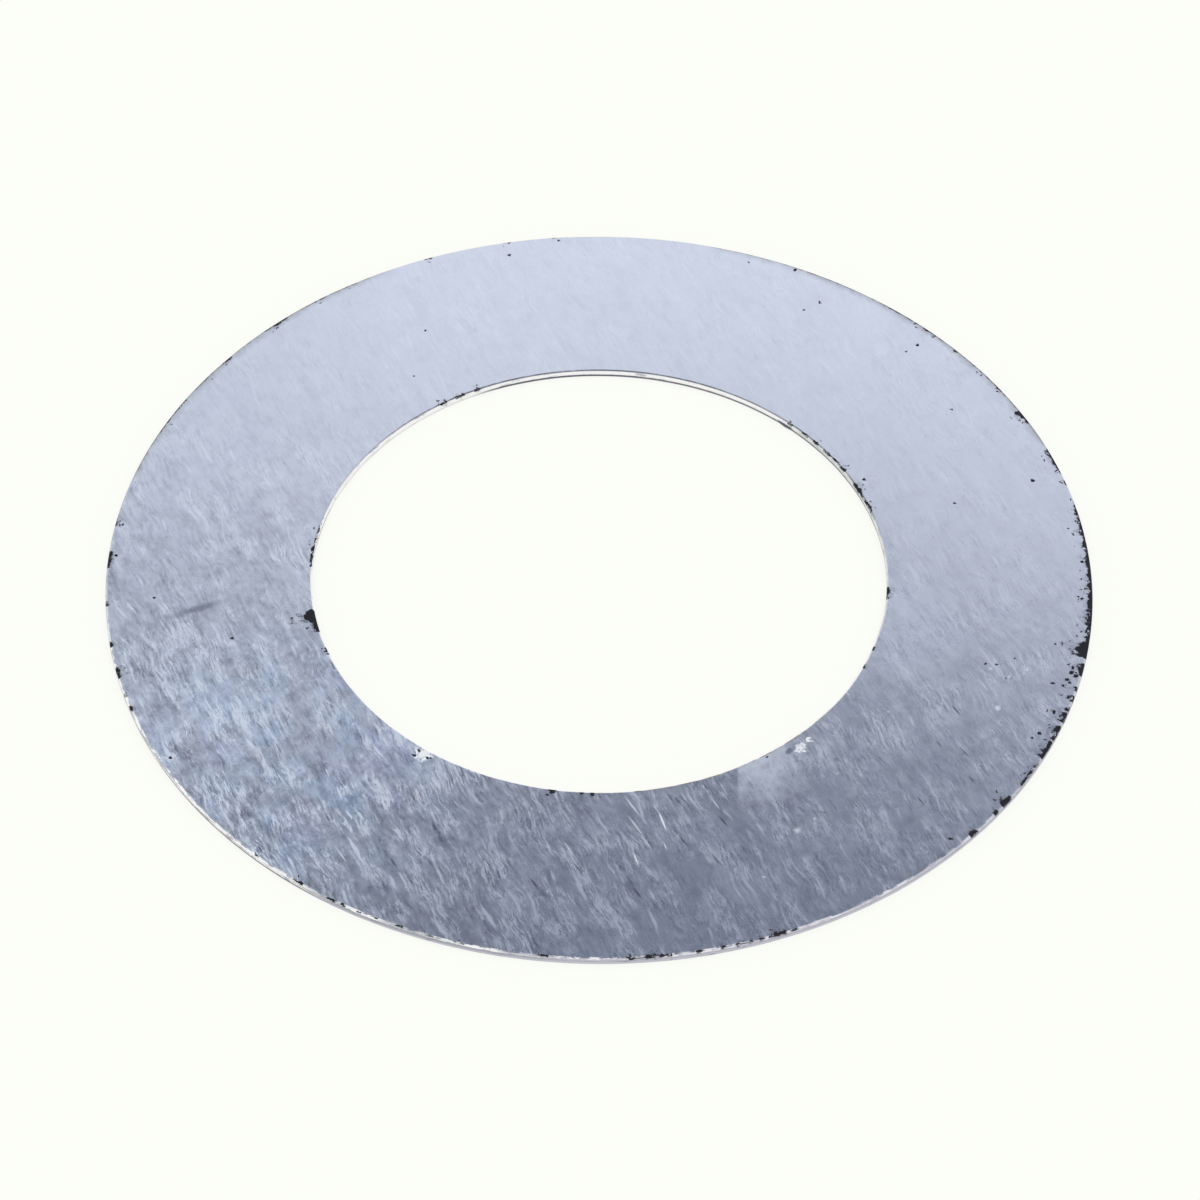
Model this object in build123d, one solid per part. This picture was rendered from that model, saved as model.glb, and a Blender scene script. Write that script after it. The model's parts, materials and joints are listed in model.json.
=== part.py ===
from build123d import *
import math
import os

# A shim ring blanked from steel sheet with one compound die, then ground on both faces.
# Millimetres, +Z up. The origin is the centre of the underside, which the ring lies on.

# ---- Ring ----
bore_diameter = 70.0
outside_diameter = 120.0
thickness = 1.0

# ---- Section of a blanked edge, the same at the bore and at the rim ----
# Blanking divides the sheet's thickness: a corner rolled over by the die at the top, then a
# straight burnished land, then a torn zone that leans back into the metal.
roll_share = 0.27          # of the thickness
torn_share = 0.32          # of the thickness
roll_run_out = 12.0        # degrees between the rolled corner and the face that cuts it off
torn_lean = 9.0            # degrees from the land's line
lower_break = 0.06         # flat on the lower corner, where the burr was ground off

# ---- Bead of burr on the bore's wall, along the line where the land begins to tear ----
bead_angle = 48.5          # degrees from +X
bead_length = 2.4
bead_stand = 0.20          # how far it stands into the bore

# ---- Hollows in the top face beside the edges, too low for the grinding to reach ----
# Each is (degrees from +X, distance of its middle from the edge, width, depth).
bore_hollows = [
    (192.5, 0.5, 1.9, 0.05),
    (235.0, 0.9, 2.2, 0.07),
    (310.0, 1.6, 1.7, 0.05),
]
rim_hollows = [
    (335.0, 0.4, 2.0, 0.04),
    (348.3, 0.7, 2.4, 0.05),
]

bore_radius = bore_diameter / 2
rim_radius = outside_diameter / 2
roll_depth = roll_share * thickness
torn_height = torn_share * thickness
torn_setback = torn_height * math.tan(math.radians(torn_lean))
# The rolled corner is one arc, tangent to the land, so its width follows from its depth.
run_out = math.radians(roll_run_out)
roll_width = roll_depth * (1 - math.sin(run_out)) / math.cos(run_out)


def blanked_edge(wall_radius, metal_side):
    """One edge's lines, from the underside up to the top face. metal_side is +1 where the
    metal lies outside the wall, as at the bore, and -1 at the rim."""
    heel = (wall_radius + metal_side * torn_setback, 0)
    land_foot = (wall_radius, torn_height)
    land_head = (wall_radius, thickness - roll_depth)
    face_start = (wall_radius + metal_side * roll_width, thickness)
    torn_zone = Line(heel, land_foot)
    land = Line(land_foot, land_head)
    roll = TangentArc(land_head, face_start, tangent=(0, 1))
    return [torn_zone, land, roll]


def blanked_ring():
    """The section between the two blanked edges, turned once round the axis."""
    edges = blanked_edge(bore_radius, +1) + blanked_edge(rim_radius, -1)
    top_face = Line((bore_radius + roll_width, thickness), (rim_radius - roll_width, thickness))
    underside = Line((bore_radius + torn_setback, 0), (rim_radius - torn_setback, 0))
    section = make_face(edges + [top_face, underside])
    lower_corners = section.vertices().group_by(Axis.Y)[0]
    section = chamfer(lower_corners, length=lower_break)
    return revolve(Plane.XZ * section, Axis.Z, 360)


def burr_bead():
    """A spindle: an arc over the bead's length, turned about its own chord. The chord's
    middle lies on the bore's wall, so both thin ends are buried in the metal. On a thin
    sheet the grinding cuts it flush with the faces."""
    half = bead_length / 2
    arc = ThreePointArc((-half, 0), (0, bead_stand), (half, 0))
    spindle = revolve(make_face([arc, Line((-half, 0), (half, 0))]), Axis.X, 360)
    on_the_wall = Pos(bore_radius, 0, torn_height) * Rot(0, 0, 90)
    between_faces = Cylinder(rim_radius, thickness, align=(Align.CENTER, Align.CENTER, Align.MIN))
    return (Rot(0, 0, bead_angle) * on_the_wall * spindle) & between_faces


def hollow(angle, middle_radius, width, depth):
    """A ball that dips into the top face, to the given depth and over the given width."""
    ball_radius = (width**2 / 4 + depth**2) / (2 * depth)
    ball = Pos(middle_radius, 0, thickness - depth + ball_radius) * Sphere(ball_radius)
    return Rot(0, 0, angle) * ball


shim_ring = blanked_ring() + burr_bead()
for angle, inset, width, depth in bore_hollows:
    shim_ring -= hollow(angle, bore_radius + inset, width, depth)
for angle, inset, width, depth in rim_hollows:
    shim_ring -= hollow(angle, rim_radius - inset, width, depth)
shim_ring.label = "shim_ring"

os.makedirs("parts", exist_ok=True)
export_step(shim_ring, "parts/shim_ring.step")
print("shim_ring", round(shim_ring.volume, 1), "mm3", shim_ring.bounding_box().size)
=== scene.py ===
import json
import math
import bpy
import numpy as np
from mathutils import Matrix, Vector


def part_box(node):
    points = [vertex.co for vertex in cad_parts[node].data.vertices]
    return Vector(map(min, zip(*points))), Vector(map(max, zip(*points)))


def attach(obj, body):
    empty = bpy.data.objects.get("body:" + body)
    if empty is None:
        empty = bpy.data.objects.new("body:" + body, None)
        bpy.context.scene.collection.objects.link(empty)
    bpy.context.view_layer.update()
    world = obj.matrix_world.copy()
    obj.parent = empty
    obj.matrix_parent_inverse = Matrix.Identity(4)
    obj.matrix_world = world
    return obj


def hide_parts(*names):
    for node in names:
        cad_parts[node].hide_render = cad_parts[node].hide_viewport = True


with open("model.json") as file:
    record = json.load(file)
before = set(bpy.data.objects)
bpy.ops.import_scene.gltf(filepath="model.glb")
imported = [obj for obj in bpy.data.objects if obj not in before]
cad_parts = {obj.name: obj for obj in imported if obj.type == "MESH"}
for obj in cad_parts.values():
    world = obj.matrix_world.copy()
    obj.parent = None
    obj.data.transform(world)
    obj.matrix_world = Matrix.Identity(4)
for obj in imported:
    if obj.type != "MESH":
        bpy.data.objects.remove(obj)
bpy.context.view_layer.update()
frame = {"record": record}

# ---------------------------------------------------------------------------------------------
# The ring: one piece of steel sheet, blanked inside and out by a single stroke of a compound
# die. The die rolls the upper corners over, burnishes a band of each wall and tears the rest.
# Lengths are in millimetres until the mesh is made, and heights start at the underside.
# ---------------------------------------------------------------------------------------------
MM = 0.001
low_corner, high_corner = (np.array(corner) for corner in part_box("shim_ring"))
bore_mount = next(m for m in frame["record"]["mounts"] if m["name"] == "bore")
bore_radius = bore_mount["dims"]["r_mm"]
rim_radius = high_corner[0] / MM
thickness = (high_corner[2] - low_corner[2]) / MM

ROLL_SHARE = 0.27                  # of the thickness, at the top of each wall
ROLL_WANDER = 0.16                 # how much that depth wanders round the ring
ROLL_RUN_OUT = math.radians(12)    # between the rolled corner and the face that cuts it off
ROLL_ROWS = 6
TORN_SHARE = 0.32                  # of the thickness, at the foot of each wall
TORN_WANDER = 0.22                 # the same for the torn zone
TORN_LEAN = math.radians(9)        # from the land's line
TORN_ROUGHNESS = 0.012             # in and out of the torn zone's slope
LOWER_BREAK = 0.06                 # on the lower corner, where the burr was ground off
COLUMNS = 1440
SEED = 7

angles = np.linspace(0, 2 * math.pi, COLUMNS, endpoint=False)
dice = np.random.default_rng(SEED)


def ripple(waves, roughness=0.5):
    """A closed random curve round the ring, between about -1 and 1: a sum of cosines that each
    fit a whole number of times, with random phases and sizes that fall as the number rises."""
    counts = np.arange(waves[0], waves[1] + 1)
    sizes = dice.normal(size=counts.size) * (counts / counts[0]) ** -roughness
    phases = dice.uniform(0, 2 * math.pi, counts.size)
    curve = (sizes[:, None] * np.cos(counts[:, None] * angles + phases[:, None])).sum(axis=0)
    return curve / (2 * curve.std())


def degrees_from(degrees):
    """Degrees along the circle from the given angle to every column, between -180 and 180."""
    return (np.degrees(angles) - degrees + 180) % 360 - 180


def bump_at(degrees, half_width):
    """1 at the given angle, falling to 0 over half_width degrees on each side, as a half cosine."""
    away = degrees_from(degrees)
    return np.where(np.abs(away) < half_width, 0.5 + 0.5 * np.cos(math.pi * away / half_width), 0)


def blanked_wall(wall_radius, metal_side):
    """Rows of (radius, height) up one wall, each row an array over the angles: the broken lower
    corner, the leaning torn zone, the straight land, and the rolled corner as an arc that is
    tangent to the land. The depths of the zones wander a little round the ring."""
    torn_height = TORN_SHARE * thickness * (1 + TORN_WANDER * ripple((3, 60)))
    roll_depth = ROLL_SHARE * thickness * (1 + ROLL_WANDER * ripple((2, 40)))
    torn_setback = torn_height * math.tan(TORN_LEAN)
    arc_radius = roll_depth / math.cos(ROLL_RUN_OUT)
    land_head = thickness - roll_depth
    level = 0 * angles
    rows = [(torn_setback + LOWER_BREAK, level), (torn_setback * 0.9, LOWER_BREAK + level)]
    for share in (0.35, 0.6, 0.85):
        chipping = TORN_ROUGHNESS * ripple((60, 500), 0.1)
        rows.append((torn_setback * (1 - share) + chipping, torn_height * share))
    rows.append((level, torn_height))
    rows.append((level, (torn_height + land_head) / 2))
    rows.append((level, land_head))
    for turn in np.linspace(0, math.pi / 2 - ROLL_RUN_OUT, ROLL_ROWS + 1)[1:]:
        rows.append((arc_radius * (1 - np.cos(turn)), land_head + arc_radius * np.sin(turn)))
    return [(wall_radius + metal_side * np.maximum(depth, 0), height) for depth, height in rows]


def across(inner_row, outer_row, shares):
    """Rows between two rows, at the given shares of the way."""
    return [tuple(a + (b - a) * share for a, b in zip(inner_row, outer_row)) for share in shares]


bore_wall = blanked_wall(bore_radius, +1)
rim_wall = blanked_wall(rim_radius, -1)
WALL_ROWS = len(bore_wall)

# The face's rows lie closest beside the edges, where the hollows are.
EDGE_BAND = 0.06                   # of the way across
EDGE_ROWS, FACE_ROWS, UNDERSIDE_ROWS = 10, 9, 12
face_shares = np.concatenate([
    np.linspace(0, EDGE_BAND, EDGE_ROWS)[1:],
    np.linspace(EDGE_BAND, 1 - EDGE_BAND, FACE_ROWS)[1:-1],
    np.linspace(1 - EDGE_BAND, 1, EDGE_ROWS)[:-1],
])
underside_shares = np.linspace(0, 1, UNDERSIDE_ROWS)[1:-1]

# Once round the section: up the bore's wall, across the face, down the rim, back underneath.
section = bore_wall + across(bore_wall[-1], rim_wall[-1], face_shares) + rim_wall[::-1]
section += across(rim_wall[0], bore_wall[0], underside_shares)
radii = np.array([row[0] for row in section])
heights = np.array([row[1] for row in section])

# A bead of burr stands into the bore, on the line where its land begins to tear.
BEAD_DEGREES, BEAD_LENGTH, BEAD_STAND = 48.5, 2.4, 0.20
BEAD_RISE = 0.24                   # how far it spreads above and below that line
BEAD_TAPER = 1.3                   # its thin ends run this much past its length
WALL_DEPTH = 0.12                  # the bore's wall lies no deeper than this in the metal


def bead_out():
    """How far the bead stands out of the bore's wall at every place: its height times half an
    ellipse across its line, times a half cosine along it."""
    half_angle = math.degrees(BEAD_LENGTH / 2 / bore_radius)
    above_line = heights - TORN_SHARE * thickness
    ellipse = np.clip(1 - (above_line / BEAD_RISE) ** 2, 0, 1) ** 0.5
    on_bore_wall = radii < bore_radius + WALL_DEPTH
    return on_bore_wall * ellipse * BEAD_STAND * bump_at(BEAD_DEGREES, half_angle * BEAD_TAPER)


radii -= bead_out()

# Hollows beside the edges, too low for the grinding to reach:
# (degrees, middle's radius, width, depth).
HOLLOWS = [
    (192.5, bore_radius + 0.5, 1.9, 0.05),
    (235.0, bore_radius + 0.9, 2.2, 0.07),
    (310.0, bore_radius + 1.6, 1.7, 0.05),
    (335.0, rim_radius - 0.4, 2.0, 0.04),
    (348.3, rim_radius - 0.7, 2.4, 0.05),
]
HOLLOW_FLOOR = 0.7                 # of the thickness, below which no hollow reaches


def hollow_dip(degrees, middle, width, depth):
    """How far a hollow lowers the top at every place: its depth times one less the square of the
    distance from its middle over half its width, and nothing outside that."""
    turn = math.radians(degrees)
    away_x = radii * np.cos(angles) - middle * math.cos(turn)
    away_y = radii * np.sin(angles) - middle * math.sin(turn)
    dip = depth * np.clip(1 - (2 * np.hypot(away_x, away_y) / width) ** 2, 0, 1)
    return np.where(heights > HOLLOW_FLOOR * thickness, dip, 0)


for degrees, middle, width, depth in HOLLOWS:
    heights -= hollow_dip(degrees, middle, width, depth)


def grid_mesh(name, places, crisp_rows):
    """A closed mesh from a grid of places, rows by columns, that wraps both ways. Each face runs
    from one row to the next and from one column to the next, wound so that it points out."""
    rows, columns = places.shape[:2]
    index = np.arange(rows * columns).reshape(rows, columns)
    right = np.roll(index, -1, axis=1)
    corners = np.stack([index, np.roll(index, -1, axis=0), np.roll(right, -1, axis=0), right], axis=-1)
    mesh = bpy.data.meshes.new(name)
    mesh.vertices.add(rows * columns)
    mesh.vertices.foreach_set("co", places.reshape(-1).astype(np.float32))
    mesh.loops.add(corners.size)
    mesh.loops.foreach_set("vertex_index", corners.reshape(-1).astype(np.int32))
    mesh.polygons.add(rows * columns)
    mesh.polygons.foreach_set("loop_start", np.arange(0, corners.size, 4, dtype=np.int32))
    mesh.update(calc_edges=True)
    mesh.polygons.foreach_set("use_smooth", np.ones(rows * columns, dtype=bool))
    ends = np.empty(len(mesh.edges) * 2, dtype=np.int32)
    mesh.edges.foreach_get("vertices", ends)
    row_of = ends.reshape(-1, 2) // columns
    crisp = (row_of[:, 0] == row_of[:, 1]) & np.isin(row_of[:, 0], crisp_rows)
    mesh.edges.foreach_set("use_edge_sharp", crisp)
    mesh.update()
    mesh.validate()
    return mesh


places = np.stack([radii * np.cos(angles), radii * np.sin(angles), heights], axis=-1) * MM
face_end = WALL_ROWS + len(face_shares)
crisp_rows = [0, 1, WALL_ROWS - 1, face_end, face_end + WALL_ROWS - 2, face_end + WALL_ROWS - 1]
ring_mesh = grid_mesh("blanked_ring", places, crisp_rows)
ring = bpy.data.objects.new("blanked_ring", ring_mesh)
bpy.context.scene.collection.objects.link(ring)
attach(ring, "root")
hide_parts("shim_ring")

# ---------------------------------------------------------------------------------------------
# Mill scale left along the edges, where the grinding did not reach: black, brittle crumbs.
# Each stretch is (degrees, half its length in degrees, how far it reaches onto the face in mm).
# ---------------------------------------------------------------------------------------------
RIM_SCALE = [
    (1, 11.5, 0.50), (354, 4.5, 0.62), (348.4, 1.2, 1.6), (345.3, 1.0, 0.7), (342.2, 0.4, 0.5),
    (340.7, 0.5, 0.6), (339, 0.4, 0.5), (337.6, 0.8, 0.8), (335.0, 1.2, 0.62), (332.2, 1.5, 0.55),
    (328.1, 2.3, 0.32), (323.1, 0.9, 0.7), (321, 0.4, 0.5), (317, 0.7, 0.6), (15.5, 0.5, 0.4),
    (19.3, 2.4, 0.42), (27.3, 1.3, 0.55), (35.2, 3.2, 0.26), (41, 0.5, 0.35), (47.8, 5.2, 0.28),
    (95.5, 1.6, 0.26), (102, 0.6, 0.3), (112, 0.6, 0.3), (123, 0.5, 0.3), (127.2, 1.0, 0.32),
    (134, 2.2, 0.34), (142.5, 0.9, 0.32), (146, 0.6, 0.3), (154, 4, 0.3), (172.5, 0.6, 0.35),
    (178.5, 1.6, 0.36), (185.5, 0.5, 0.35), (192, 0.5, 0.35), (196.4, 1, 0.45), (200, 0.5, 0.36),
    (202.2, 0.5, 0.36), (228.9, 0.4, 0.26), (233.3, 0.4, 0.22), (234.9, 0.8, 0.30),
    (239.4, 0.7, 0.27), (241, 0.45, 0.32), (243, 0.3, 0.22), (245.2, 0.3, 0.22),
    (247.9, 0.5, 0.28), (251.7, 1.6, 0.21), (255.5, 0.9, 0.2), (264.3, 0.6, 0.24),
    (275.4, 2.2, 0.36), (278, 0.4, 0.3), (281.4, 0.5, 0.3), (283.9, 0.4, 0.34),
    (286.4, 1.1, 0.34), (288.4, 0.4, 0.34), (290.3, 1.2, 0.38), (292.2, 0.5, 0.3),
]
BORE_SCALE = [
    (21, 5.2, 0.30), (25, 1.5, 0.45), (31, 1.0, 0.38), (34.5, 3.6, 0.26), (37, 0.8, 0.3),
    (40, 1.0, 0.28), (43.2, 1.1, 0.28), (47.4, 0.8, 0.3), (116.3, 0.8, 0.36), (120.3, 1.3, 0.34),
    (124.3, 1.1, 0.34), (173.5, 6.6, 0.28), (192.4, 1.5, 1.5), (195.2, 1.5, 0.6), (202, 1.1, 0.4),
    (261.4, 0.8, 0.6), (267, 0.5, 0.45), (269, 0.4, 0.45), (277.6, 0.9, 0.3), (335, 0.6, 0.4),
    (340, 0.6, 0.4), (355.2, 1.9, 0.35),
]
# Along the back of the rim the scale is only a thin line: (degrees, half its length, how dark).
RIM_LINE = [(50, 15, 1.0), (29, 7, 0.8), (69, 7, 0.6), (135, 17, 0.8), (157, 8, 0.5)]


STRETCH_END, STRETCH_FALL = 1.1, 0.3   # of half its length


def reach_round(stretches):
    """The scale's reach at every angle: the widest of the stretches there, each one full over its
    middle and falling to nothing, in a straight line, just past its end."""
    reach = 0 * angles
    for degrees, half_length, widest in stretches:
        left_over = half_length * STRETCH_END - np.abs(degrees_from(degrees))
        reach = np.maximum(reach, widest * np.clip(left_over / (half_length * STRETCH_FALL), 0, 1))
    return reach


for name, stretches in {"rim_scale": RIM_SCALE, "bore_scale": BORE_SCALE, "rim_line": RIM_LINE}.items():
    layer = ring_mesh.attributes.new(name, "FLOAT", "POINT")
    layer.data.foreach_set("value", np.tile(reach_round(stretches), len(section)).astype(np.float32))


def join(tree, value, socket):
    """Links a value to a socket, or sets it there if it is a plain one. None leaves it alone."""
    if isinstance(value, bpy.types.NodeSocket):
        tree.links.new(value, socket)
    elif value is not None:
        socket.default_value = value


def add(tree, kind, *values, **settings):
    """A node with its settings, its inputs joined in order."""
    node = tree.nodes.new(kind)
    for name, value in settings.items():
        setattr(node, name, value)
    for socket, value in zip(node.inputs, values):
        join(tree, value, socket)
    return node


def number(tree, operation, *values):
    """The result of one sum."""
    return add(tree, "ShaderNodeMath", *values, operation=operation).outputs[0]


def product(tree, first, *others):
    """Several numbers multiplied together."""
    for other in others:
        first = number(tree, "MULTIPLY", first, other)
    return first


def highest(tree, first, *others):
    """The highest of several numbers."""
    for other in others:
        first = number(tree, "MAXIMUM", first, other)
    return first


def scaled(tree, value, factor, offset):
    """A number times a factor, plus an offset."""
    return number(tree, "MULTIPLY_ADD", value, factor, offset)


def vector(tree, operation, *values):
    """The result of one sum on vectors."""
    node = add(tree, "ShaderNodeVectorMath", *values, operation=operation)
    return node.outputs[1 if operation in ("LENGTH", "DOT_PRODUCT", "DISTANCE") else 0]


def ramp(tree, value, start, end, low=0.0, high=1.0):
    """Low up to the start, high from the end on, and an S between them."""
    limits = (start, end, low, high)
    return add(tree, "ShaderNodeMapRange", value, *limits, interpolation_type="SMOOTHSTEP").outputs[0]


def noise(tree, place, scale, detail=2.0, roughness=0.5):
    """Soft random numbers, mostly between -1 and 1. The node's own lie between 1/4 and 3/4."""
    node = tree.nodes.new("ShaderNodeTexNoise")
    for name, value in (("Vector", place), ("Scale", scale), ("Detail", detail), ("Roughness", roughness)):
        join(tree, value, node.inputs[name])
    return scaled(tree, node.outputs["Fac"], 4.0, -2.0)


def cells(tree, place, scale):
    """A random number for each cell of a cellular pattern, and the distance to its middle."""
    node = tree.nodes.new("ShaderNodeTexVoronoi")
    join(tree, place, node.inputs["Vector"])
    join(tree, scale, node.inputs["Scale"])
    split = add(tree, "ShaderNodeSeparateColor", node.outputs["Color"])
    return split.outputs[0], node.outputs["Distance"]


def rotated(tree, place, angle):
    """A place turned about the ring's axis."""
    node = add(tree, "ShaderNodeVectorRotate", place, rotation_type="Z_AXIS")
    join(tree, angle, node.inputs["Angle"])
    return node.outputs[0]


# The Mix node's places for two colours and their share. The places between are for other kinds.
MIX_SHARE, MIX_FIRST, MIX_SECOND, MIX_RESULT = 0, 6, 7, 2


def mixed(tree, share, first, second):
    """A colour between two."""
    node = tree.nodes.new("ShaderNodeMix")
    node.data_type = "RGBA"
    for index, value in ((MIX_SHARE, share), (MIX_FIRST, first), (MIX_SECOND, second)):
        join(tree, value, node.inputs[index])
    return node.outputs[MIX_RESULT]


def group(name, inputs, outputs):
    """An empty node group, with its ends. Inputs and outputs are (name, kind)."""
    tree = bpy.data.node_groups.new(name, "ShaderNodeTree")
    for label, kind in inputs:
        tree.interface.new_socket(label, in_out="INPUT", socket_type="NodeSocket" + kind)
    for label, kind in outputs:
        tree.interface.new_socket(label, in_out="OUTPUT", socket_type="NodeSocket" + kind)
    return tree, tree.nodes.new("NodeGroupInput").outputs, tree.nodes.new("NodeGroupOutput").inputs


# Crumbs: black where the distance from the edge is under the reach, with a broken outline, and
# loose specks beyond it. The fringe round them is where the scale has worn thin and grey.
crumbs, given, result = group(
    "scale_crumbs",
    [("Place", "Vector"), ("Distance", "Float"), ("Reach", "Float")],
    [("Mask", "Float"), ("Fringe", "Float")],
)
SPECK_LIMIT = 3.2                  # reaches from the edge, past which there are no loose specks
ragged = product(crumbs, noise(crumbs, given["Place"], 1.5, 3.0, 0.7), 0.55)
ragged = scaled(crumbs, noise(crumbs, given["Place"], 0.55, 2.0), 0.40, ragged)
flake, _ = cells(crumbs, given["Place"], 2.6)
ragged = number(crumbs, "ADD", ragged, scaled(crumbs, flake, 0.7, -0.35))
reaches = number(crumbs, "DIVIDE", given["Distance"], highest(crumbs, given["Reach"], 0.01))
solid = ramp(crumbs, number(crumbs, "ADD", reaches, ragged), 0.95, 0.85)
chance, middle = cells(crumbs, given["Place"], 2.1)
speck = product(crumbs, ramp(crumbs, middle, 0.38, 0.26), ramp(crumbs, chance, 0.34, 0.30))
speck = product(crumbs, speck, number(crumbs, "LESS_THAN", reaches, SPECK_LIMIT))
mask = product(crumbs, highest(crumbs, solid, speck), number(crumbs, "GREATER_THAN", given["Reach"], 0.05))
fringe = ramp(crumbs, number(crumbs, "ADD", reaches, product(crumbs, ragged, 2.0)), 2.0, 0.9)
fringe = product(crumbs, fringe, number(crumbs, "GREATER_THAN", given["Reach"], 0.3))
crumbs.links.new(mask, result["Mask"])
crumbs.links.new(fringe, result["Fringe"])

# ---------------------------------------------------------------------------------------------
# The grinding: both faces are ground flat with one coarse wheel, which leaves short strokes
# that lie nearly one way, bend a little and come in bundles. Places are in millimetres.
# ---------------------------------------------------------------------------------------------
strokes, given, result = group(
    "grinding_strokes",
    [("Place", "Vector"), ("Turn", "Float"), ("Length", "Float"), ("Width", "Float")],
    [("Fibre", "Float"), ("Hair", "Float"), ("Light", "Float"), ("Dark", "Float")],
)
bend = product(strokes, noise(strokes, given["Place"], 0.2, 2.0), 0.40)
axes = add(strokes, "ShaderNodeSeparateXYZ", rotated(strokes, given["Place"], given["Turn"]))
along = number(strokes, "DIVIDE", axes.outputs[0], given["Length"])
side = number(strokes, "DIVIDE", number(strokes, "ADD", axes.outputs[1], bend), given["Width"])
drawn = add(strokes, "ShaderNodeCombineXYZ", along, side, axes.outputs[2]).outputs[0]
strokes.links.new(noise(strokes, drawn, 1.0, 4.0, 0.78), result["Fibre"])
# Hairs: the thin curved lines along which a second noise passes through nought.
crossing = number(strokes, "ABSOLUTE", noise(strokes, drawn, 1.1, 4.0, 0.65))
bundle = ramp(strokes, noise(strokes, drawn, 0.42, 2.0), -0.15, 0.6)
strokes.links.new(product(strokes, ramp(strokes, crossing, 0.22, 0.0), bundle), result["Hair"])
# Dashes: the middles of a few stretched cells, some light and some dark.
chance, middle = cells(strokes, drawn, 0.8)
dash = ramp(strokes, middle, 0.40, 0.10)
strokes.links.new(product(strokes, dash, ramp(strokes, chance, 0.7, 1.0)), result["Light"])
strokes.links.new(product(strokes, dash, ramp(strokes, chance, 0.3, 0.0)), result["Dark"])

# ---------------------------------------------------------------------------------------------
# The ground steel: bare, a little blue, darker at the front with painted shade, and clouded at the left.
# The strokes make a tone, which pulls the colour towards lit metal or towards shaded metal: painted
# highlights and painted shade along them.
# ---------------------------------------------------------------------------------------------
STEEL = (0.66, 0.704, 0.875, 1)
# The front's colour: the steel darkened with painted shade.
FRONT_SHADE = (0.54, 0.590, 0.735, 1)
BLUE = (0.48, 0.61, 0.84, 1)
VIOLET = (0.57, 0.58, 0.80, 1)
LIT = (0.78, 0.84, 1.0, 1)
# Painted shade for the strokes, and also the dark of the smear, the dark patches and the wall's nicks.
SHADE_AND_GRIME = (0.15, 0.165, 0.25, 1)
steel = bpy.data.materials.new("ground_steel")
steel.use_nodes = True
tree = steel.node_tree
shader = tree.nodes["Principled BSDF"]
where = tree.nodes.new("ShaderNodeTexCoord").outputs["Object"]
flat = vector(tree, "MULTIPLY", where, (1 / MM, 1 / MM, 0))
# The two faces lie apart in the patterns, so that they do not repeat each other.
FACES_APART = 6
spread = vector(tree, "MULTIPLY", where, (1 / MM, 1 / MM, FACES_APART / MM))
face_axes = add(tree, "ShaderNodeSeparateXYZ", vector(tree, "MULTIPLY", where, (1 / MM, 1 / MM, 1 / MM)))
x_mm, y_mm, height = face_axes.outputs
radius = vector(tree, "LENGTH", flat)
rim_away = number(tree, "SUBTRACT", rim_radius, radius)
bore_away = number(tree, "SUBTRACT", radius, bore_radius)
upper = ramp(tree, height, 0.8 * thickness, 0.9 * thickness)
LEAN_REACH = 50                    # from the axis


def lean(degrees):
    """How far towards a direction a place lies: 0 at the axis and 1 at the reach above. The
    direction is in degrees from +X, so 90 is the back, 180 the left and 270 the front."""
    turn = math.radians(degrees)
    towards = (math.cos(turn) / LEAN_REACH, math.sin(turn) / LEAN_REACH, 0)
    return vector(tree, "DOT_PRODUCT", flat, towards)


def distance_from(x, y):
    """Millimetres from a place, along the face."""
    return vector(tree, "DISTANCE", flat, (x, y, 0))


def grouped(node_group, *values):
    """The outputs of a group node, its inputs joined in order."""
    node = tree.nodes.new("ShaderNodeGroup")
    node.node_tree = node_group
    for socket, value in zip(node.inputs, values):
        join(tree, value, socket)
    return node.outputs


# A fine wobble of the place, along the face, frays the outlines of marks and crumbs.
wobble_node = tree.nodes.new("ShaderNodeTexNoise")
join(tree, spread, wobble_node.inputs["Vector"])
join(tree, 2.5, wobble_node.inputs["Scale"])
wobble = vector(tree, "SUBTRACT", wobble_node.outputs["Color"], (0.5, 0.5, 0.5))
ragged_flat = vector(tree, "MULTIPLY_ADD", wobble, (0.7, 0.7, 0), flat)
ragged_spread = vector(tree, "MULTIPLY_ADD", wobble, (1.0, 1.0, 0), spread)

# How strongly the strokes show, both as wear and as the strength of their painted highlights and shade:
# least at the back, most at the left and the front.
wear_and_contrast = product(
    tree,
    ramp(tree, lean(254), -0.65, 0.85, 0.16, 0.88),
    ramp(tree, lean(212), 0.1, 0.95, 1.0, 1.22),
    ramp(tree, lean(300), 0.55, 1.1, 1.0, 0.74),
    ramp(tree, lean(5), 0.45, 1.1, 1.0, 1.25),
)
# Each sort of stroke has its own direction, length and width.
main = grouped(strokes, spread, math.radians(64), 3.0, 0.5)
cross = grouped(strokes, spread, math.radians(69), 2.2, 0.42)
long_marks = grouped(strokes, spread, math.radians(67), 6.0, 0.6)
streaks = grouped(strokes, spread, math.radians(60), 4.2, 1.7)
patches = ramp(tree, noise(tree, spread, 0.25, 2.0), -0.1, 0.5)
fibre = add(tree, "ShaderNodeMix", patches, main["Fibre"], cross["Fibre"]).outputs[0]
hairs = highest(tree, main["Hair"], long_marks["Hair"], product(tree, cross["Hair"], patches))
clusters = ramp(tree, noise(tree, spread, 0.22, 3.0), -0.35, 0.55, 0.3, 1.15)
clouds = noise(tree, spread, 0.16, 3.0, 0.6)
mottle = noise(tree, spread, 0.6, 4.0, 0.65)

# On the left a few strokes lie the other way, from a second pass.
crossed = grouped(strokes, ragged_spread, math.radians(-50), 2.2, 0.42)
second_pass = scaled(tree, crossed["Light"], 0.6, crossed["Hair"])
second_pass = product(tree, second_pass, ramp(tree, distance_from(-38, -24), 30, 12))

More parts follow.
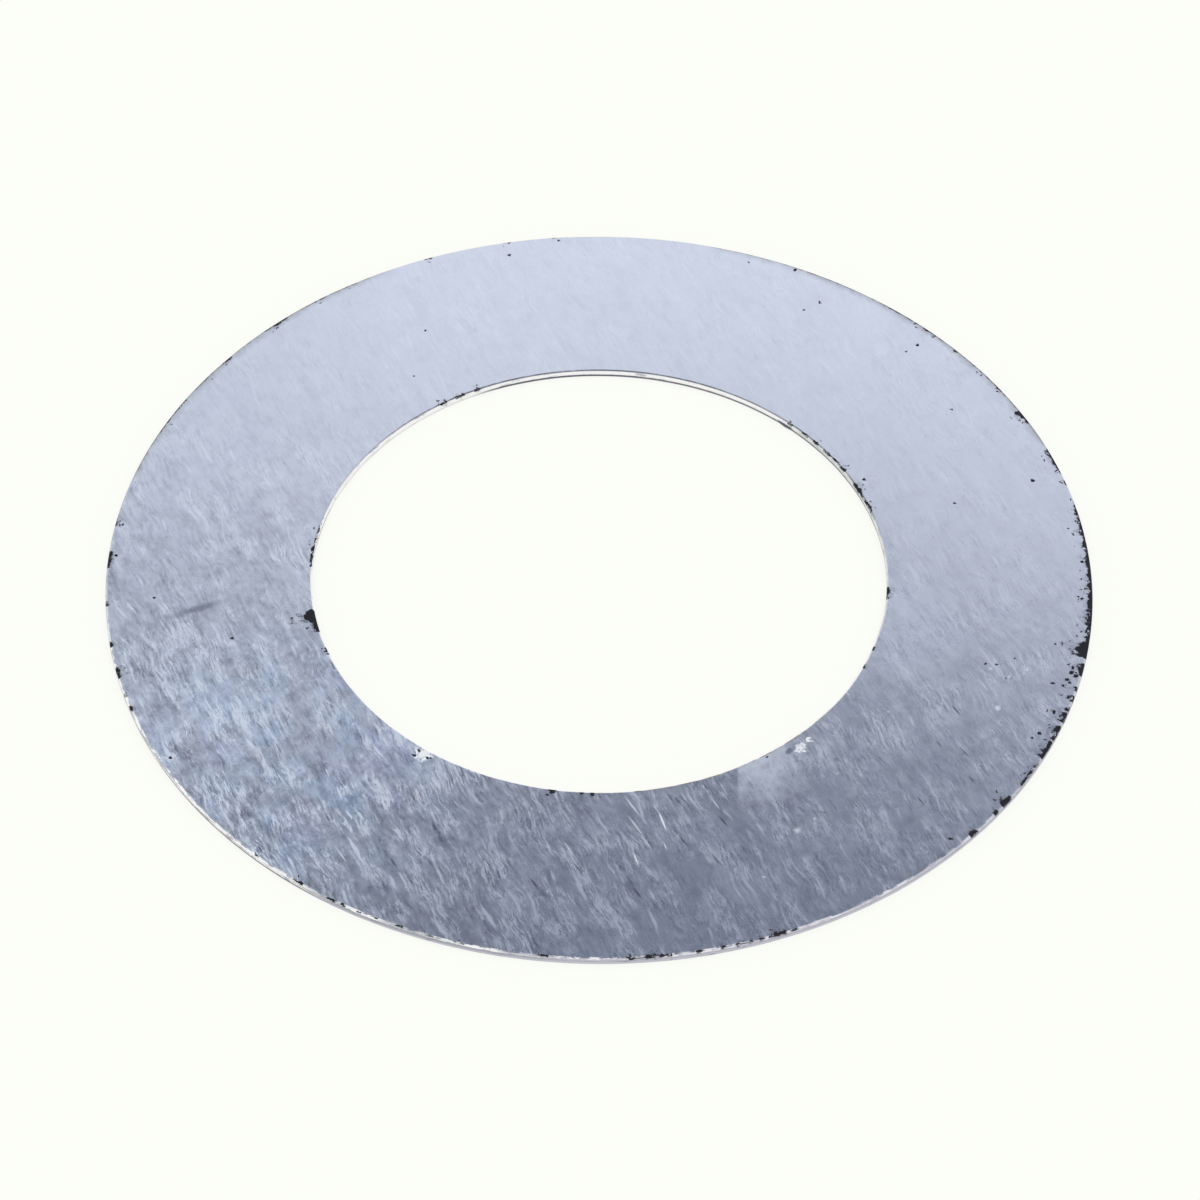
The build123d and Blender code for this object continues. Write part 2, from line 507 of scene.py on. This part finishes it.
TONE_MIDDLE = 0.080
tone = scaled(tree, hairs, 0.72, product(tree, fibre, 0.40))
tone = product(tree, tone, clusters)
for part, share in (
    (streaks["Fibre"], 0.25),
    (highest(tree, main["Light"], long_marks["Light"]), 0.52),
    (highest(tree, main["Dark"], long_marks["Dark"]), -0.24),
    (clouds, 0.08),
    (mottle, 0.17),
    (second_pass, 0.20),
):
    tone = scaled(tree, part, share, tone)
tone = product(tree, number(tree, "SUBTRACT", tone, TONE_MIDDLE), wear_and_contrast)
relief = product(tree, fibre, wear_and_contrast)

# The front is darker, with painted shade. The left is blue and violet in broad clouds.
front_shade = ramp(tree, lean(259), -0.3, 0.65)
left = ramp(tree, distance_from(-36, -31), 27, 9)
blue = product(tree, left, ramp(tree, clouds, -0.5, 0.5), 0.75)
violet = product(tree, left, ramp(tree, noise(tree, spread, 0.14, 2.0), -0.1, 0.5), 0.5)
colour = mixed(tree, front_shade, STEEL, FRONT_SHADE)
colour = mixed(tree, blue, colour, BLUE)
colour = mixed(tree, violet, colour, VIOLET)

# Broad places that are paler or darker: (x, y, radius, how much lighter).
PLACES = [
    (-28, -26, 18, 0.12), (-46, -23, 15, 0.09), (1, -58, 10, 0.06), (36, -9, 10, 0.11),
    (-19, -56, 12, -0.09), (-12, -44, 8, 0.02), (13.5, -34.5, 6, -0.09),
]
PLACE_CORE = 3
shine = 1.0
for x, y, far, lighter in PLACES:
    shine = number(tree, "ADD", ramp(tree, distance_from(x, y), far, PLACE_CORE, 0, lighter), shine)
colour = add(tree, "ShaderNodeVectorMath", colour, None, None, shine, operation="SCALE").outputs[0]

# Beside the bore a rub has left a pale smudge with one crisp side. It is palest at its head.
RUBBED = (0.83, 0.85, 1.0, 1)
smudge = product(
    tree,
    ramp(tree, x_mm, 16.2, 16.8),      # the crisp side
    ramp(tree, x_mm, 27.0, 17.0),      # it fades to the right
    ramp(tree, y_mm, -39.5, -30.5),    # and to the front
    ramp(tree, y_mm, -24.0, -26.5),
    ramp(tree, main["Fibre"], -1.1, 0.7, 0.5, 1.0),
    ramp(tree, mottle, -0.7, 0.8, 0.55, 1.2),
    upper,
)
smudge_head = ramp(tree, distance_from(19, -31), 6.5, 1.5)
tone = scaled(tree, smudge, scaled(tree, smudge_head, 0.44, 0.28), tone)
rubbed = product(tree, smudge, scaled(tree, smudge_head, 0.24, 0.10))
colour = mixed(tree, product(tree, smudge, 0.6), colour, RUBBED)

# The tone's light share is a painted highlight and its dark share is painted shade.
LIGHT_GAIN, DARK_GAIN = 2.75, 1.7
light_share = number(tree, "MINIMUM", product(tree, highest(tree, tone, 0.0), LIGHT_GAIN), 1.0)
dark_share = product(tree, highest(tree, product(tree, tone, -1.0), 0.0), DARK_GAIN)
colour = mixed(tree, light_share, colour, LIT)
colour = mixed(tree, dark_share, colour, SHADE_AND_GRIME)

# ---------------------------------------------------------------------------------------------
# Marks on the face, one by one: marks of use, which are a dark smear, dark strokes, light scratches and the
# chipped corner of the bore, and glints, which are painted highlights. Each is (x, y, half width), in
# millimetres from the axis.
# ---------------------------------------------------------------------------------------------
DARK_STROKES = [
    (9.4, -36.3, 0.18), (8.5, -35.8, 0.13), (14.7, -39.4, 0.22), (10.0, -42.4, 0.2),
    (12.7, -34.1, 0.15), (13.9, -45.3, 0.18), (-2.2, -46.6, 0.2), (4.7, -50.3, 0.22),
    (42.5, -21.8, 0.2), (40.3, -27.2, 0.14), (43.3, -28.5, 0.16), (43.9, -32.6, 0.15),
    (37.8, -36.0, 0.16), (-7.2, -48.9, 0.2), (-23.5, -46.0, 0.2),
]
LIGHT_SCRATCHES = [
    (4.1, -37.2, 0.17), (6.8, -37.5, 0.08), (4.5, -40.2, 0.17), (5.8, -42.8, 0.12),
    (10.1, -35.7, 0.08), (13.8, -36.7, 0.10), (-3.3, -43.6, 0.11), (-37.0, -33.5, 0.14),
    (-29.5, -45.0, 0.13), (46.1, -18.0, 0.10),
]
STEEP_SCRATCHES = [(7.6, -39.4, 0.17), (4.5, -45.1, 0.12), (7.9, -43.2, 0.07)]
# Painted highlights: glints of light on the face.
PAINTED_GLINTS = [
    (46.9, -15.2, 0.3), (51.3, -15.3, 0.25), (49.1, -16.4, 0.25), (47.5, -21.4, 0.55),
    (34.5, -22.2, 0.28), (19.3, -47.7, 0.32), (23.3, -40.6, 0.65), (25.3, -38.8, 0.25),
]
CHIPS = [(-20.5, -29.3, 2.2), (24.0, -27.9, 1.35), (24.9, -26.6, 0.8)]
DARK_PATCHES = [(22.6, -28.4, 0.55), (26.5, -37.9, 0.2), (14.8, -32.6, 0.2)]
SMEAR = [(-48.6, -6.5, 0.85)]
STRUCK = (0.10, 0.11, 0.17, 1)
SCRATCH_AND_GLINT = (0.86, 0.92, 1.0, 1)
CHIP_GLINT = (0.90, 0.92, 1.0, 1)


def marked(marks, degrees=0, stretch=1, core=0.3, space=ragged_flat):
    """One mask for a list of marks on the top face, each (x, y, half width). They all lie at one
    angle and are stretched along it: the place is turned and squeezed, and the marks are discs."""
    turn = math.radians(degrees)
    squeezed = vector(tree, "MULTIPLY", rotated(tree, space, -turn), (1 / stretch, 1, 1))
    total = 0.0
    for x, y, half_width in marks:
        along = x * math.cos(turn) + y * math.sin(turn)
        sideways = y * math.cos(turn) - x * math.sin(turn)
        away = vector(tree, "DISTANCE", squeezed, (along / stretch, sideways, 0))
        total = highest(tree, ramp(tree, away, half_width, half_width * core), total)
    return product(tree, total, upper)


smear = marked(SMEAR, degrees=23.6, stretch=6.3, core=0.0)
colour = mixed(tree, product(tree, smear, 0.6), colour, SHADE_AND_GRIME)
dark_strokes = marked(DARK_STROKES, degrees=-58, stretch=7, core=0.1, space=flat)
colour = mixed(tree, product(tree, dark_strokes, 0.8), colour, STRUCK)
scratches = marked(LIGHT_SCRATCHES, degrees=-60, stretch=14, core=0.3, space=flat)
steep_scratches = marked(STEEP_SCRATCHES, degrees=-73, stretch=12, core=0.35, space=flat)
# The glints are painted highlights, in the scratches' near-white.
painted_glints = marked(PAINTED_GLINTS, core=0.0)
lit = highest(tree, product(tree, scratches, 0.65), steep_scratches, product(tree, painted_glints, 0.8))
colour = mixed(tree, product(tree, lit, 0.95), colour, SCRATCH_AND_GLINT)

# In two places the bore's corner has chipped away, and the chips carry a painted glint of near-white.
dark_patch = marked(DARK_PATCHES, degrees=35, stretch=1.5)
colour = mixed(tree, product(tree, dark_patch, 0.7), colour, SHADE_AND_GRIME)
broken = product(tree, noise(tree, ragged_spread, 3.0, 3.0, 0.7), 1.4)
glinting_chip = ramp(tree, scaled(tree, marked(CHIPS, core=0.0), 2.0, broken), 0.9, 1.4)
glinting_chip = product(tree, glinting_chip, upper)
# The chips' near-white is a painted highlight.
colour = mixed(tree, glinting_chip, colour, CHIP_GLINT)

# Fresh metal, which scatters the light whichever way it comes.
sparkle = product(tree, light_share, scaled(tree, left, 0.26, 0.09))
lit = highest(tree, product(tree, lit, 0.75), rubbed, product(tree, glinting_chip, 0.85), sparkle)

# ---------------------------------------------------------------------------------------------
# The blanked walls: a burnished land between a dark line under the rolled corner and the torn zone, white
# where the burnishing is fresh and with a painted reflection of the pale floor, and the band of each corner
# that handling has worn, with a painted highlight along it.
# ---------------------------------------------------------------------------------------------
# The land's colours hold painted reflection and shade: near white on the bore and the left of the rim,
# darker at the front and grey on the right of the bore.
LAND_SIDE, LAND_FRONT_SHADE = (0.52, 0.52, 0.61, 1), (0.42, 0.42, 0.49, 1)
LAND_FRESH_REFLECTION, LAND_GREY_SHADE = (0.99, 0.98, 1.0, 1), (0.42, 0.44, 0.49, 1)
TORN_RIM, TORN_RIM_LEFT_SHADE = (0.55, 0.55, 0.64, 1), (0.24, 0.24, 0.29, 1)
TORN_BORE_SHADE = (0.13, 0.13, 0.17, 1)
HEAD_LINE, ROLL_SHADE_LINE = (0.20, 0.20, 0.27, 1), (0.16, 0.16, 0.20, 1)
WORN_HIGHLIGHT_LEFT, WORN_HIGHLIGHT_RIGHT = (0.97, 0.97, 1.0, 1), (0.80, 0.77, 0.88, 1)
OLD_OIL = (0.36, 0.28, 0.30, 1)
# Each pair is where a band fades. The first is the rolled corner's width in from the wall, and
# the others are heights over the underside.
CORNER_WIDTH = (0.27, 0.20)
FACE_EDGE = (0.995, 0.97)
TORN_TOP, BEAD_TOP = (0.45, 0.38), (0.64, 0.54)
HEAD_FOOT, HEAD_TOP = (0.55, 0.61), (0.77, 0.70)
WORN_HIGHLIGHT_FOOT = (0.73, 0.79)
on_rim = ramp(tree, rim_away, *CORNER_WIDTH)
on_bore = ramp(tree, bore_away, *CORNER_WIDTH)
below_face = ramp(tree, height, *FACE_EDGE)
wall = product(tree, highest(tree, on_rim, on_bore), below_face)
nicks = noise(tree, spread, 0.5, 3.0, 0.6)
small_nicks = noise(tree, spread, 1.4, 3.0, 0.6)
patchy = scaled(tree, small_nicks, 0.5, nicks)
rim_left = ramp(tree, lean(214), 1.07, 1.15)

# Painted reflection makes the land near white, and painted shade greys it on the right of the bore.
fresh_reflection = highest(tree, product(tree, rim_left, ramp(tree, patchy, -0.35, -0.1)), on_bore)
greyed_shade = product(
    tree,
    on_bore,
    ramp(tree, lean(10), 0.50, 0.60, 0.08, 0.6),
    ramp(tree, patchy, -0.5, 0.3, 0.5, 1.0),
)
land_colour = mixed(tree, ramp(tree, lean(243), 1.08, 1.17), LAND_SIDE, LAND_FRONT_SHADE)
land_colour = mixed(tree, fresh_reflection, land_colour, LAND_FRESH_REFLECTION)
land_colour = mixed(tree, greyed_shade, land_colour, LAND_GREY_SHADE)

# The torn zone is pale at the back left of the bore. It is darkened with painted contact shade at the foot
# of the bore's wall and of the rim's left. The bead is as dark as the torn zone.
bead_turn = math.radians(BEAD_DEGREES)
bead_middle = bore_radius - BEAD_STAND / 2
bead_away = distance_from(bead_middle * math.cos(bead_turn), bead_middle * math.sin(bead_turn))
bead = product(tree, ramp(tree, bead_away, 1.5, 0.9), ramp(tree, height, *BEAD_TOP))
torn = product(
    tree,
    ramp(tree, scaled(tree, small_nicks, 0.04, height), *TORN_TOP),
    ramp(tree, lean(20), 0.15, 0.55, 1.0, 0.9),
    ramp(tree, distance_from(-26, 23), 12, 17, 0.2, 1.0),
)
torn = highest(tree, torn, bead)
torn_colour = mixed(tree, on_bore, TORN_RIM, TORN_BORE_SHADE)
torn_colour = mixed(tree, rim_left, torn_colour, TORN_RIM_LEFT_SHADE)

# A dark line heads the rim's land. It is faint on the bore and at the front.
head = product(
    tree,
    ramp(tree, height, *HEAD_FOOT),
    ramp(tree, height, *HEAD_TOP),
    scaled(tree, on_bore, -0.9, 1.0),
    ramp(tree, nicks, -0.3, 0.4, 0.3, 0.85),
    ramp(tree, lean(262), 0.75, 1.1, 1.0, 0.4),
    scaled(tree, rim_left, -0.4, 1.0),
)
wall_colour = mixed(tree, torn, land_colour, torn_colour)
wall_colour = mixed(tree, head, wall_colour, HEAD_LINE)
wall_colour = mixed(tree, product(tree, ramp(tree, nicks, 0.45, 0.6), 0.5), wall_colour, SHADE_AND_GRIME)
colour = mixed(tree, wall, colour, wall_colour)

# A thin dark line of painted shade runs where the bore's corner begins to roll, along the back.
roll_shade = product(
    tree,
    ramp(tree, bore_away, 0.34, 0.26),
    ramp(tree, bore_away, 0.10, 0.18),
    ramp(tree, lean(75), 0.25, 0.45),
    ramp(tree, patchy, -0.6, 0.2, 0.25, 0.7),
)
colour = mixed(tree, roll_shade, colour, ROLL_SHADE_LINE)

# Handling has worn the front corners, and a painted highlight lies along them, in patches.
RIM_BAND_WIDER = 0.12
edge_away = number(tree, "MINIMUM", rim_away, number(tree, "ADD", bore_away, RIM_BAND_WIDER))
edge_away = scaled(tree, small_nicks, 0.10, edge_away)
worn_highlight = product(
    tree,
    ramp(tree, edge_away, 0.33, 0.23),
    ramp(tree, height, *WORN_HIGHLIGHT_FOOT),
    ramp(tree, lean(262), -0.1, 0.6),
    ramp(tree, patchy, -0.25, 0.1),
    ramp(tree, noise(tree, spread, 0.17, 2.0), -0.5, 0.2, 0.4, 1.0),
)
worn_highlight_colour = mixed(tree, ramp(tree, lean(330), 0.45, 0.95), WORN_HIGHLIGHT_LEFT, WORN_HIGHLIGHT_RIGHT)
colour = mixed(tree, product(tree, worn_highlight, 0.9), colour, worn_highlight_colour)

# A brown line of old oil lies along the front of the bore's corner.
oiled = product(
    tree,
    ramp(tree, lean(293), 0.60, 0.66),
    ramp(tree, bore_away, 0.34, 0.16),
    ramp(tree, patchy, -0.6, 0.2),
)
colour = mixed(tree, oiled, colour, OLD_OIL)

# ---------------------------------------------------------------------------------------------
# The scale's colour over all of that: dust and a thin line along the back of the rim, then the
# crumbs with their grey fringe, and single flakes pressed into the face.
# ---------------------------------------------------------------------------------------------
# Each flake is (degrees, distance from the middle, half width).
FLAKES = [
    (191.6, 35.5, 0.8), (193.1, 35.3, 0.8), (192.2, 36.1, 0.5), (349.0, 59.7, 0.9),
    (348.0, 59.7, 0.8), (348.5, 58.9, 0.55), (345.4, 58.7, 0.3), (261.4, 35.4, 0.45),
    (260.7, 36.1, 0.24), (28.2, 59.4, 0.42), (16.9, 56.1, 0.3), (44.9, 56.9, 0.22),
    (45.2, 55.0, 0.2), (33, 52.6, 0.18), (15.7, 45.5, 0.18), (59.7, 55.5, 0.2),
    (60.8, 53.2, 0.18), (26.5, 36.6, 0.25), (102, 57.4, 0.2), (118, 47.7, 0.16),
    (125, 41.3, 0.16), (185, 54.1, 0.24), (194.3, 45.5, 0.22), (211.1, 58.7, 0.26),
    (342.2, 57.0, 0.25), (344.6, 58.7, 0.34), (343.3, 58.5, 0.3), (342.9, 58.9, 0.24),
    (344.2, 59.3, 0.3), (342.2, 58.3, 0.25), (340.7, 59.4, 0.3), (337.9, 58.4, 0.28),
    (333, 57.6, 0.26), (334.1, 58.1, 0.3), (314.5, 58.5, 0.26), (356.5, 58.7, 0.25),
    (2.5, 59.0, 0.25), (8, 58.2, 0.2), (65.1, 59.4, 0.3), (71, 58.4, 0.18), (234.0, 35.7, 0.25),
    (233.8, 36.65, 0.28), (236.3, 36.1, 0.24), (236.8, 35.9, 0.2), (304, 35.5, 0.2),
    (342.7, 48.6, 0.17), (343.1, 49.8, 0.17), (344.9, 51.6, 0.15), (341.2, 51.4, 0.17),
]
BLACK = (0.011, 0.011, 0.020, 1)
FRINGE = (0.20, 0.20, 0.28, 1)
DUST = (0.27, 0.28, 0.30, 1)
LINE = (0.085, 0.08, 0.085, 1)


def round_marks(marks):
    """Marks as (x, y, half width), from (degrees, distance from the middle, half width)."""
    turned = [(math.radians(degrees), far, size) for degrees, far, size in marks]
    return [(far * math.cos(turn), far * math.sin(turn), size) for turn, far, size in turned]


def round_the_ring(name):
    """A number that the mesh carries at every angle."""
    return add(tree, "ShaderNodeAttribute", attribute_name=name).outputs["Fac"]


lined = round_the_ring("rim_line")
dust = product(tree, ramp(tree, scaled(tree, nicks, 0.4, rim_away), 1.3, 0.1), lined, 0.5)
line = product(tree, ramp(tree, scaled(tree, small_nicks, 0.14, rim_away), 0.36, 0.16), lined, 0.85)
colour = mixed(tree, dust, colour, DUST)
colour = mixed(tree, line, colour, LINE)

# Down the wall the scale ends sooner, as if each millimetre of drop were nearly two of face.
DROP_COUNTS = 1.8
drop = scaled(tree, height, -DROP_COUNTS, DROP_COUNTS * thickness)
rim_far = number(tree, "ADD", rim_away, drop)
rim_crumbs = grouped(crumbs, ragged_spread, rim_far, round_the_ring("rim_scale"))
bore_far = number(tree, "ADD", bore_away, drop)
bore_crumbs = grouped(crumbs, ragged_spread, bore_far, round_the_ring("bore_scale"))
fringe = highest(tree, rim_crumbs["Fringe"], bore_crumbs["Fringe"])
colour = mixed(tree, product(tree, fringe, 0.35), colour, FRINGE)
flakes = marked(round_marks(FLAKES), core=0.75)
scale = highest(tree, rim_crumbs["Mask"], bore_crumbs["Mask"], flakes)
colour = mixed(tree, scale, colour, BLACK)

# ---------------------------------------------------------------------------------------------
# The finish: bare steel mirrors the room softly, and less sharply where it is dull. The worn corners with
# their painted highlight, scratched metal and the painted glints scatter part of the light, and the scale is
# no metal at all.
# ---------------------------------------------------------------------------------------------
ROUGHNESS, STROKE_ROUGHNESS, DULL_ROUGHNESS, SCATTER_ROUGHNESS = 0.28, 0.06, 0.18, 0.4
STROKE_DEPTH = 0.008 * MM
SHEEN = 0.25
dull = ramp(tree, lean(185), 0.2, 1.1)
bared_and_highlit = product(tree, highest(tree, worn_highlight, lit), 0.75)
scattering = highest(tree, scale, bared_and_highlit)
rough = scaled(tree, relief, STROKE_ROUGHNESS, ROUGHNESS)
rough = scaled(tree, dull, DULL_ROUGHNESS, rough)
rough = scaled(tree, scattering, SCATTER_ROUGHNESS, rough)
bump = tree.nodes.new("ShaderNodeBump")
join(tree, STROKE_DEPTH, bump.inputs["Distance"])
join(tree, relief, bump.inputs["Height"])
join(tree, colour, shader.inputs["Base Color"])
join(tree, number(tree, "SUBTRACT", 1.0, scattering), shader.inputs["Metallic"])
join(tree, rough, shader.inputs["Roughness"])
join(tree, SHEEN, shader.inputs["Specular IOR Level"])
join(tree, bump.outputs["Normal"], shader.inputs["Normal"])
ring_mesh.materials.append(steel)

# ---------------------------------------------------------------------------------------------
# The stage: a pale paper floor that runs into the pale studio behind it, lit evenly from all
# round, and a grey panel over the ring that stands for the room. No lamp is needed.
# ---------------------------------------------------------------------------------------------
PALE = (0.99, 1.0, 0.955, 1)
world = bpy.data.worlds.new("studio")
world.use_nodes = True
background = world.node_tree.nodes["Background"]
background.inputs["Color"].default_value = PALE
background.inputs["Strength"].default_value = 1.0
bpy.context.scene.world = world


def flat_face(name, outline, material_name):
    """One flat face for the stage, with an empty material: the object and the material's tree."""
    mesh = bpy.data.meshes.new(name)
    mesh.from_pydata(outline, [], [tuple(range(len(outline)))])
    thing = bpy.data.objects.new(name, mesh)
    bpy.context.scene.collection.objects.link(thing)
    material = bpy.data.materials.new(material_name)
    material.use_nodes = True
    material.node_tree.nodes.remove(material.node_tree.nodes["Principled BSDF"])
    mesh.materials.append(material)
    return thing, material.node_tree


# The floor takes the ring's shadow. Seen by the camera or in the metal, it glows nearly as pale
# as the studio, and from below it is clear.
FLOOR_REACH = 3.0
PAPER = (0.93, 0.94, 0.90, 1)
FLOOR_GLOW = 0.85
floor_corners = [(x * FLOOR_REACH, y * FLOOR_REACH, 0) for x, y in ((-1, -1), (1, -1), (1, 1), (-1, 1))]
floor, paper_tree = flat_face("floor", floor_corners, "floor_paper")
path = paper_tree.nodes.new("ShaderNodeLightPath").outputs
seen = highest(paper_tree, path["Is Camera Ray"], path["Is Glossy Ray"], path["Is Transmission Ray"])
paper = add(paper_tree, "ShaderNodeBsdfDiffuse", PAPER).outputs[0]
glow = add(paper_tree, "ShaderNodeEmission", PALE, 1.0).outputs[0]
glowing = product(paper_tree, seen, FLOOR_GLOW)
lit_paper = add(paper_tree, "ShaderNodeMixShader", glowing, paper, glow).outputs[0]
clear = paper_tree.nodes.new("ShaderNodeBsdfTransparent").outputs[0]
from_below = paper_tree.nodes.new("ShaderNodeNewGeometry").outputs["Backfacing"]
both = add(paper_tree, "ShaderNodeMixShader", from_below, lit_paper, clear).outputs[0]
join(paper_tree, both, paper_tree.nodes["Material Output"].inputs["Surface"])

# The grey panel hangs over the ring, darkest right over its middle. Only reflections see it.
PANEL_HEIGHT, PANEL_RADIUS, PANEL_SIDES = 0.150, 0.260, 64
PANEL_MIDDLE, PANEL_SQUEEZE = (0.020, 0, 0), (0.9, 1, 0)
GREY_REACH, PALE_FROM = 0.068, 0.205   # from its middle
ROOM_GREY = (0.262, 0.276, 0.318, 1)
panel_turns = np.linspace(0, 2 * math.pi, PANEL_SIDES, endpoint=False)
panel_corners = [(PANEL_RADIUS * math.cos(a), PANEL_RADIUS * math.sin(a), PANEL_HEIGHT) for a in panel_turns]
panel, panel_tree = flat_face("ceiling_panel", panel_corners, "panel_shade")
panel.visible_camera = False
panel.visible_diffuse = False
panel.visible_shadow = False
panel.visible_transmission = False
panel_place = panel_tree.nodes.new("ShaderNodeTexCoord").outputs["Object"]
panel_place = vector(panel_tree, "MULTIPLY", panel_place, PANEL_SQUEEZE)
from_middle = vector(panel_tree, "DISTANCE", panel_place, PANEL_MIDDLE)
tint = mixed(panel_tree, ramp(panel_tree, from_middle, GREY_REACH, PALE_FROM), ROOM_GREY, PALE)
panel_glow = add(panel_tree, "ShaderNodeEmission", tint, 1.0).outputs[0]
join(panel_tree, panel_glow, panel_tree.nodes["Material Output"].inputs["Surface"])

# The camera looks down at 47 degrees from the front, through a long lens, nearly at the axis.
CAMERA_DISTANCE, CAMERA_RISE = 0.6008, math.radians(47.01)
CAMERA_ROLL = math.radians(0.495)
CAMERA_LENS, CAMERA_SENSOR = 147.8, 36   # millimetres
AIM = Vector((0.00012, -0.00355, 0))
camera_data = bpy.data.cameras.new("camera")
camera_data.lens, camera_data.sensor_width = CAMERA_LENS, CAMERA_SENSOR
camera = bpy.data.objects.new("camera", camera_data)
bpy.context.scene.collection.objects.link(camera)
camera.location = (0, -CAMERA_DISTANCE * math.cos(CAMERA_RISE), CAMERA_DISTANCE * math.sin(CAMERA_RISE))
look = (AIM - camera.location).to_track_quat("-Z", "Y").to_matrix().to_4x4()
camera.matrix_world = Matrix.Translation(camera.location) @ look @ Matrix.Rotation(CAMERA_ROLL, 4, "Z")
bpy.context.scene.camera = camera
bpy.context.scene.view_settings.view_transform = "Standard"
